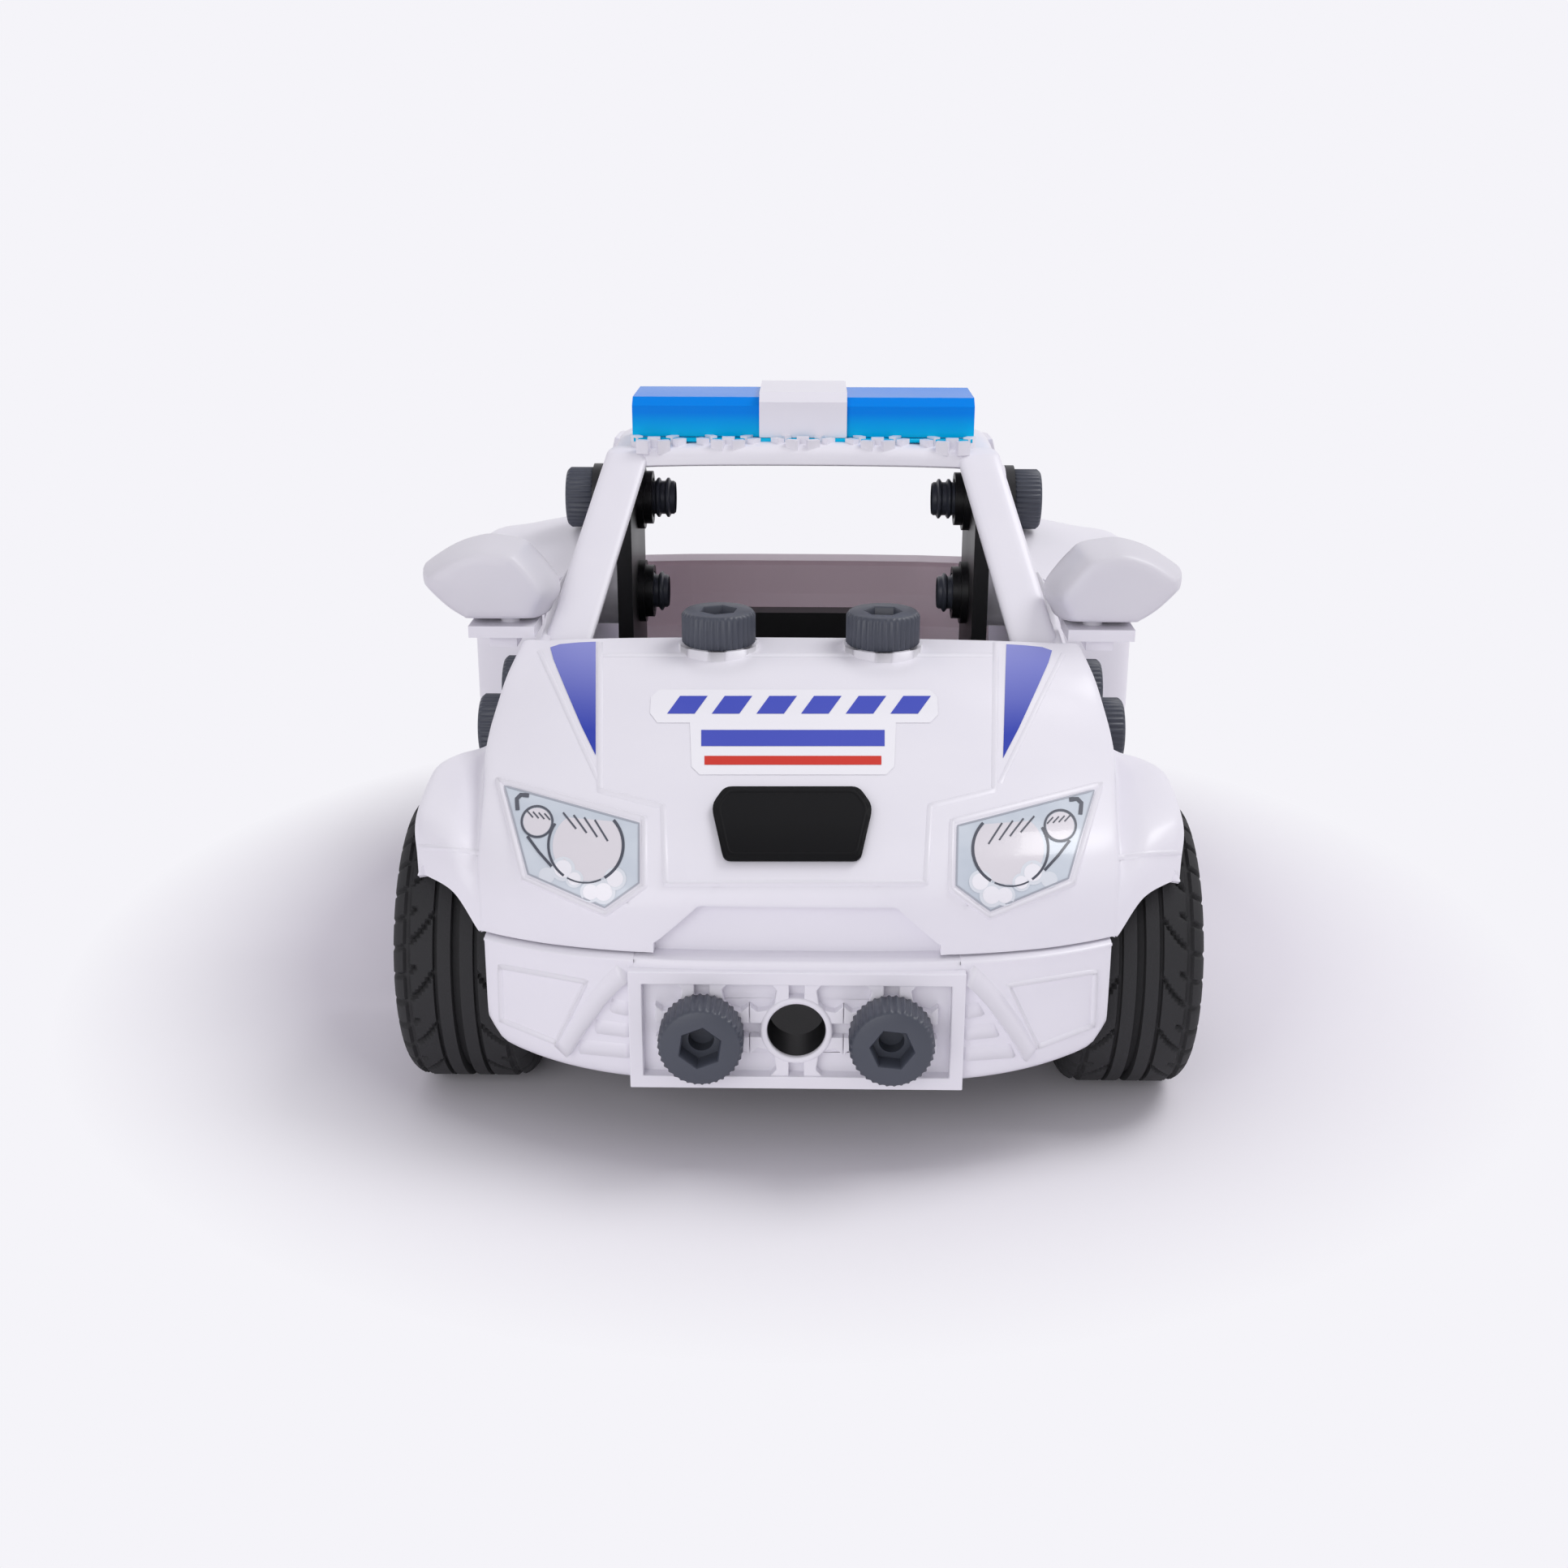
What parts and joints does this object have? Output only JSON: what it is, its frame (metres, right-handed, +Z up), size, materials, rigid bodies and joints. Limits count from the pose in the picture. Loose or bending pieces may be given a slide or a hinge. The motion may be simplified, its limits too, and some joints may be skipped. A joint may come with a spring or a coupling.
{
  "type": "toy police car",
  "caption": "White bolt-together toy police car with an open cabin, blue light bar, knurled plastic bolts, folding mirrors and rubber-tyred wheels that roll.",
  "frame": {"origin": "on the floor under the middle of the car's box", "axes": "+Z up, the car faces -Y, its own left side is +X"},
  "size_m": [0.1842, 0.252, 0.1339],
  "materials": {
    "white_abs": "moulded, satin gloss",
    "black_abs": "moulded, satin",
    "grey_bolt": "moulded, knurled",
    "blue_lens": "clear tinted, polished",
    "tyre_rubber": "moulded tread",
    "rim_grey": "moulded, satin"
  },
  "bodies": {
    "car": {"bonnet": "white_abs", "cabin_roof": "white_abs", "door_left": "white_abs", "door_right": "white_abs", "rear_quarter_left": "white_abs", "rear_quarter_right": "white_abs", "tailgate": "white_abs", "front_bumper": "white_abs", "rear_bumper": "white_abs", "lightbar_base": "white_abs", "lightbar_strap": "white_abs", "mirror_arm_left": "white_abs", "mirror_arm_right": "white_abs", "chassis": "black_abs", "tray_side_left": "black_abs", "tray_side_right": "black_abs", "cowl_bracket": "black_abs", "side_bracket_left": "black_abs", "side_bracket_right": "black_abs", "rear_bench": "black_abs", "front_spacers": "black_abs", "rear_spacers": "black_abs", "roof_washers": "black_abs", "wheel_nuts": "black_abs", "cowl_nuts": "black_abs", "bumper_nuts": "black_abs", "roof_nuts": "black_abs", "quarter_nuts": "black_abs", "door_nuts": "black_abs", "front_wheel_bolts": "grey_bolt", "rear_wheel_bolts": "grey_bolt", "cowl_bolts": "grey_bolt", "bumper_bolts": "grey_bolt", "roof_bolts": "grey_bolt", "quarter_bolts": "grey_bolt", "door_bolts": "grey_bolt", "lightbar_lens": "blue_lens"},
    "wheel_front_left": {"tyre_front_left": "tyre_rubber", "rim_front_left": "rim_grey"},
    "wheel_front_right": {"tyre_front_right": "tyre_rubber", "rim_front_right": "rim_grey"},
    "wheel_rear_left": {"tyre_rear_left": "tyre_rubber", "rim_rear_left": "rim_grey"},
    "wheel_rear_right": {"tyre_rear_right": "tyre_rubber", "rim_rear_right": "rim_grey"},
    "mirror_left": {"mirror_left": "white_abs"},
    "mirror_right": {"mirror_right": "white_abs"}
  },
  "joints": [
    {"name": "wheel_front_left_spin", "type": "hinge", "parent": "car", "child": "wheel_front_left", "pos_m": [0.068, -0.0732, 0.03], "axis": [1, 0, 0], "continuous": true},
    {"name": "wheel_front_right_spin", "type": "hinge", "parent": "car", "child": "wheel_front_right", "pos_m": [-0.068, -0.0732, 0.03], "axis": [1, 0, 0], "continuous": true},
    {"name": "wheel_rear_left_spin", "type": "hinge", "parent": "car", "child": "wheel_rear_left", "pos_m": [0.077, 0.0888, 0.03], "axis": [1, 0, 0], "continuous": true},
    {"name": "wheel_rear_right_spin", "type": "hinge", "parent": "car", "child": "wheel_rear_right", "pos_m": [-0.077, 0.0888, 0.03], "axis": [1, 0, 0], "continuous": true},
    {"name": "mirror_left_fold", "type": "hinge", "parent": "car", "child": "mirror_left", "pos_m": [0.066, -0.0287, 0.09], "axis": [0, 0, 1], "range_deg": [-20, 60]},
    {"name": "mirror_right_fold", "type": "hinge", "parent": "car", "child": "mirror_right", "pos_m": [-0.066, -0.0287, 0.09], "axis": [0, 0, -1], "range_deg": [-20, 60]}
  ]
}
